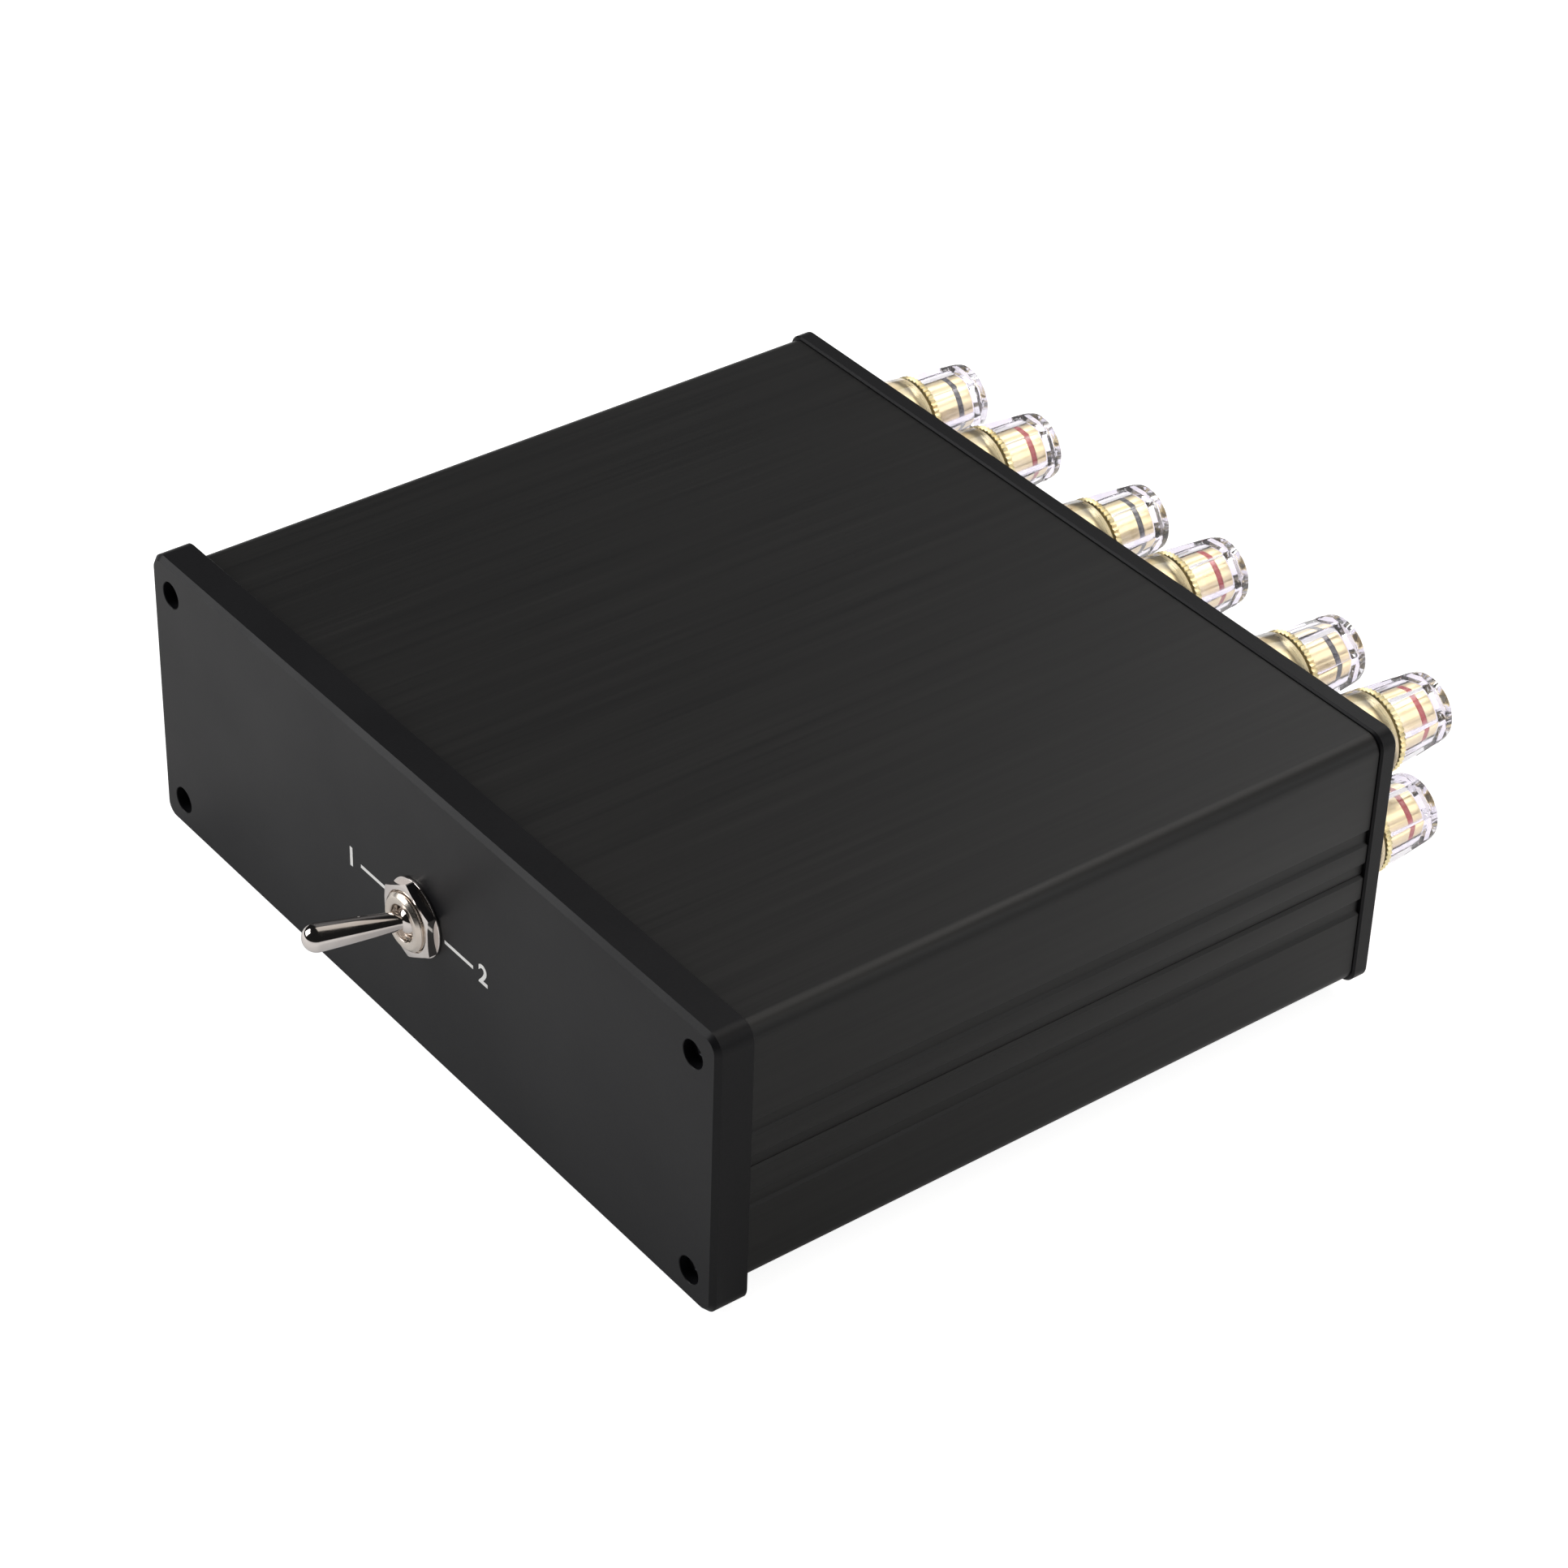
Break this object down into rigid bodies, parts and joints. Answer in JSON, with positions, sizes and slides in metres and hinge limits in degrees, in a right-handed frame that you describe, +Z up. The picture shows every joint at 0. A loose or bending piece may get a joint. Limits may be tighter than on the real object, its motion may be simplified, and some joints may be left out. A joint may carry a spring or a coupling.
{
  "type": "speaker selector switch",
  "caption": "Desktop speaker selector with a toggle switch on a thick front plate, a split metal case and rows of clear-capped binding posts behind.",
  "frame": {"origin": "on the surface that the feet stand on, under the middle of the overall width and length", "axes": "+X to the right seen from the front, +Y from the front plate towards the binding posts, +Z up"},
  "size_m": [0.184, 0.2088, 0.0652],
  "materials": {
    "anodised_plate": "matt black anodised, fine satin",
    "anodised_case": "black anodised over lengthwise brushing",
    "black_screw": "black oxide",
    "foot_rubber": "matt",
    "nickel": "bright nickel plate",
    "plated_steel": "bright zinc plate",
    "phenolic": "moulded brown phenolic",
    "white_nylon": "moulded nylon",
    "contact_metal": "silver-plated brass",
    "spring_wire": "bright",
    "gold": "polished gold plate",
    "clear_plastic": "clear polycarbonate, slightly lilac",
    "black_insulator": "moulded",
    "black_band": "gloss",
    "red_band": "gloss",
    "black_wire": "satin PVC",
    "red_wire": "satin PVC"
  },
  "bodies": {
    "case": {"front_plate": "anodised_plate", "rear_plate": "anodised_plate", "upper_case": "anodised_case", "lower_case": "anodised_case", "panel_screws": "black_screw", "rubber_feet": "foot_rubber", "switch_bushing": "nickel", "switch_nut": "nickel", "switch_washer": "nickel", "switch_frame": "plated_steel", "switch_housing": "phenolic", "switch_terminals": "contact_metal", "post_studs": "gold", "post_base_collars": "clear_plastic", "post_insulators": "black_insulator", "solder_tags": "gold", "post_nuts": "gold", "black_wires": "black_wire", "red_wires": "red_wire"},
    "lever": {"switch_lever": "nickel", "drive_block": "white_nylon", "switch_plungers": "contact_metal", "plunger_springs": "spring_wire"},
    "rockers": {"contact_rockers": "contact_metal"},
    "band_01": {"knob_band_01": "black_band"},
    "knob_01": {"knob_core_01": "gold", "knob_shell_01": "clear_plastic"},
    "band_02": {"knob_band_02": "red_band"},
    "knob_02": {"knob_core_02": "gold", "knob_shell_02": "clear_plastic"},
    "band_03": {"knob_band_03": "black_band"},
    "knob_03": {"knob_core_03": "gold", "knob_shell_03": "clear_plastic"},
    "band_04": {"knob_band_04": "red_band"},
    "knob_04": {"knob_core_04": "gold", "knob_shell_04": "clear_plastic"},
    "band_05": {"knob_band_05": "black_band"},
    "knob_05": {"knob_core_05": "gold", "knob_shell_05": "clear_plastic"},
    "band_06": {"knob_band_06": "red_band"},
    "knob_06": {"knob_core_06": "gold", "knob_shell_06": "clear_plastic"},
    "band_07": {"knob_band_07": "black_band"},
    "knob_07": {"knob_core_07": "gold", "knob_shell_07": "clear_plastic"},
    "band_08": {"knob_band_08": "red_band"},
    "knob_08": {"knob_core_08": "gold", "knob_shell_08": "clear_plastic"},
    "band_09": {"knob_band_09": "black_band"},
    "knob_09": {"knob_core_09": "gold", "knob_shell_09": "clear_plastic"},
    "band_10": {"knob_band_10": "red_band"},
    "knob_10": {"knob_core_10": "gold", "knob_shell_10": "clear_plastic"},
    "band_11": {"knob_band_11": "black_band"},
    "knob_11": {"knob_core_11": "gold", "knob_shell_11": "clear_plastic"},
    "band_12": {"knob_band_12": "red_band"},
    "knob_12": {"knob_core_12": "gold", "knob_shell_12": "clear_plastic"}
  },
  "joints": [
    {"name": "lever_tilt", "type": "hinge", "parent": "case", "child": "lever", "pos_m": [0, -0.08381, 0.0338], "axis": [0, 0, 1], "range_deg": [0, 34]},
    {"name": "rocker_tilt", "type": "hinge", "parent": "case", "child": "rockers", "pos_m": [0, -0.06181, 0.0338], "axis": [0, 0, 1], "range_deg": [-16, 0]},
    {"name": "knob_travel_01", "type": "slide", "parent": "case", "child": "band_01", "axis": [0, 1, 0], "range_m": [0, 0.004]},
    {"name": "knob_turn_01", "type": "hinge", "parent": "band_01", "child": "knob_01", "pos_m": [-0.0704, 0.09519, 0.0459], "axis": [0, 1, 0], "range_deg": [0, 1800]},
    {"name": "knob_travel_02", "type": "slide", "parent": "case", "child": "band_02", "axis": [0, 1, 0], "range_m": [0, 0.004]},
    {"name": "knob_turn_02", "type": "hinge", "parent": "band_02", "child": "knob_02", "pos_m": [-0.0462, 0.09519, 0.0459], "axis": [0, 1, 0], "range_deg": [0, 1800]},
    {"name": "knob_travel_03", "type": "slide", "parent": "case", "child": "band_03", "axis": [0, 1, 0], "range_m": [0, 0.004]},
    {"name": "knob_turn_03", "type": "hinge", "parent": "band_03", "child": "knob_03", "pos_m": [-0.0121, 0.09519, 0.0459], "axis": [0, 1, 0], "range_deg": [0, 1800]},
    {"name": "knob_travel_04", "type": "slide", "parent": "case", "child": "band_04", "axis": [0, 1, 0], "range_m": [0, 0.004]},
    {"name": "knob_turn_04", "type": "hinge", "parent": "band_04", "child": "knob_04", "pos_m": [0.0121, 0.09519, 0.0459], "axis": [0, 1, 0], "range_deg": [0, 1800]},
    {"name": "knob_travel_05", "type": "slide", "parent": "case", "child": "band_05", "axis": [0, 1, 0], "range_m": [0, 0.004]},
    {"name": "knob_turn_05", "type": "hinge", "parent": "band_05", "child": "knob_05", "pos_m": [0.0462, 0.09519, 0.0459], "axis": [0, 1, 0], "range_deg": [0, 1800]},
    {"name": "knob_travel_06", "type": "slide", "parent": "case", "child": "band_06", "axis": [0, 1, 0], "range_m": [0, 0.004]},
    {"name": "knob_turn_06", "type": "hinge", "parent": "band_06", "child": "knob_06", "pos_m": [0.0704, 0.09519, 0.0459], "axis": [0, 1, 0], "range_deg": [0, 1800]},
    {"name": "knob_travel_07", "type": "slide", "parent": "case", "child": "band_07", "axis": [0, 1, 0], "range_m": [0, 0.004]},
    {"name": "knob_turn_07", "type": "hinge", "parent": "band_07", "child": "knob_07", "pos_m": [-0.0704, 0.09519, 0.0217], "axis": [0, 1, 0], "range_deg": [0, 1800]},
    {"name": "knob_travel_08", "type": "slide", "parent": "case", "child": "band_08", "axis": [0, 1, 0], "range_m": [0, 0.004]},
    {"name": "knob_turn_08", "type": "hinge", "parent": "band_08", "child": "knob_08", "pos_m": [-0.0462, 0.09519, 0.0217], "axis": [0, 1, 0], "range_deg": [0, 1800]},
    {"name": "knob_travel_09", "type": "slide", "parent": "case", "child": "band_09", "axis": [0, 1, 0], "range_m": [0, 0.004]},
    {"name": "knob_turn_09", "type": "hinge", "parent": "band_09", "child": "knob_09", "pos_m": [-0.0121, 0.09519, 0.0217], "axis": [0, 1, 0], "range_deg": [0, 1800]},
    {"name": "knob_travel_10", "type": "slide", "parent": "case", "child": "band_10", "axis": [0, 1, 0], "range_m": [0, 0.004]},
    {"name": "knob_turn_10", "type": "hinge", "parent": "band_10", "child": "knob_10", "pos_m": [0.0121, 0.09519, 0.0217], "axis": [0, 1, 0], "range_deg": [0, 1800]},
    {"name": "knob_travel_11", "type": "slide", "parent": "case", "child": "band_11", "axis": [0, 1, 0], "range_m": [0, 0.004]},
    {"name": "knob_turn_11", "type": "hinge", "parent": "band_11", "child": "knob_11", "pos_m": [0.0462, 0.09519, 0.0217], "axis": [0, 1, 0], "range_deg": [0, 1800]},
    {"name": "knob_travel_12", "type": "slide", "parent": "case", "child": "band_12", "axis": [0, 1, 0], "range_m": [0, 0.004]},
    {"name": "knob_turn_12", "type": "hinge", "parent": "band_12", "child": "knob_12", "pos_m": [0.0704, 0.09519, 0.0217], "axis": [0, 1, 0], "range_deg": [0, 1800]}
  ],
  "couplings": [
    {"joint": "rocker_tilt", "follows": "lever_tilt", "ratio": -0.4705},
    {"joint": "knob_turn_01", "follows": "knob_travel_01", "rad_per_m": 7853.9},
    {"joint": "knob_turn_02", "follows": "knob_travel_02", "rad_per_m": 7853.9},
    {"joint": "knob_turn_03", "follows": "knob_travel_03", "rad_per_m": 7853.9},
    {"joint": "knob_turn_04", "follows": "knob_travel_04", "rad_per_m": 7853.9},
    {"joint": "knob_turn_05", "follows": "knob_travel_05", "rad_per_m": 7853.9},
    {"joint": "knob_turn_06", "follows": "knob_travel_06", "rad_per_m": 7853.9},
    {"joint": "knob_turn_07", "follows": "knob_travel_07", "rad_per_m": 7853.9},
    {"joint": "knob_turn_08", "follows": "knob_travel_08", "rad_per_m": 7853.9},
    {"joint": "knob_turn_09", "follows": "knob_travel_09", "rad_per_m": 7853.9},
    {"joint": "knob_turn_10", "follows": "knob_travel_10", "rad_per_m": 7853.9},
    {"joint": "knob_turn_11", "follows": "knob_travel_11", "rad_per_m": 7853.9},
    {"joint": "knob_turn_12", "follows": "knob_travel_12", "rad_per_m": 7853.9}
  ]
}
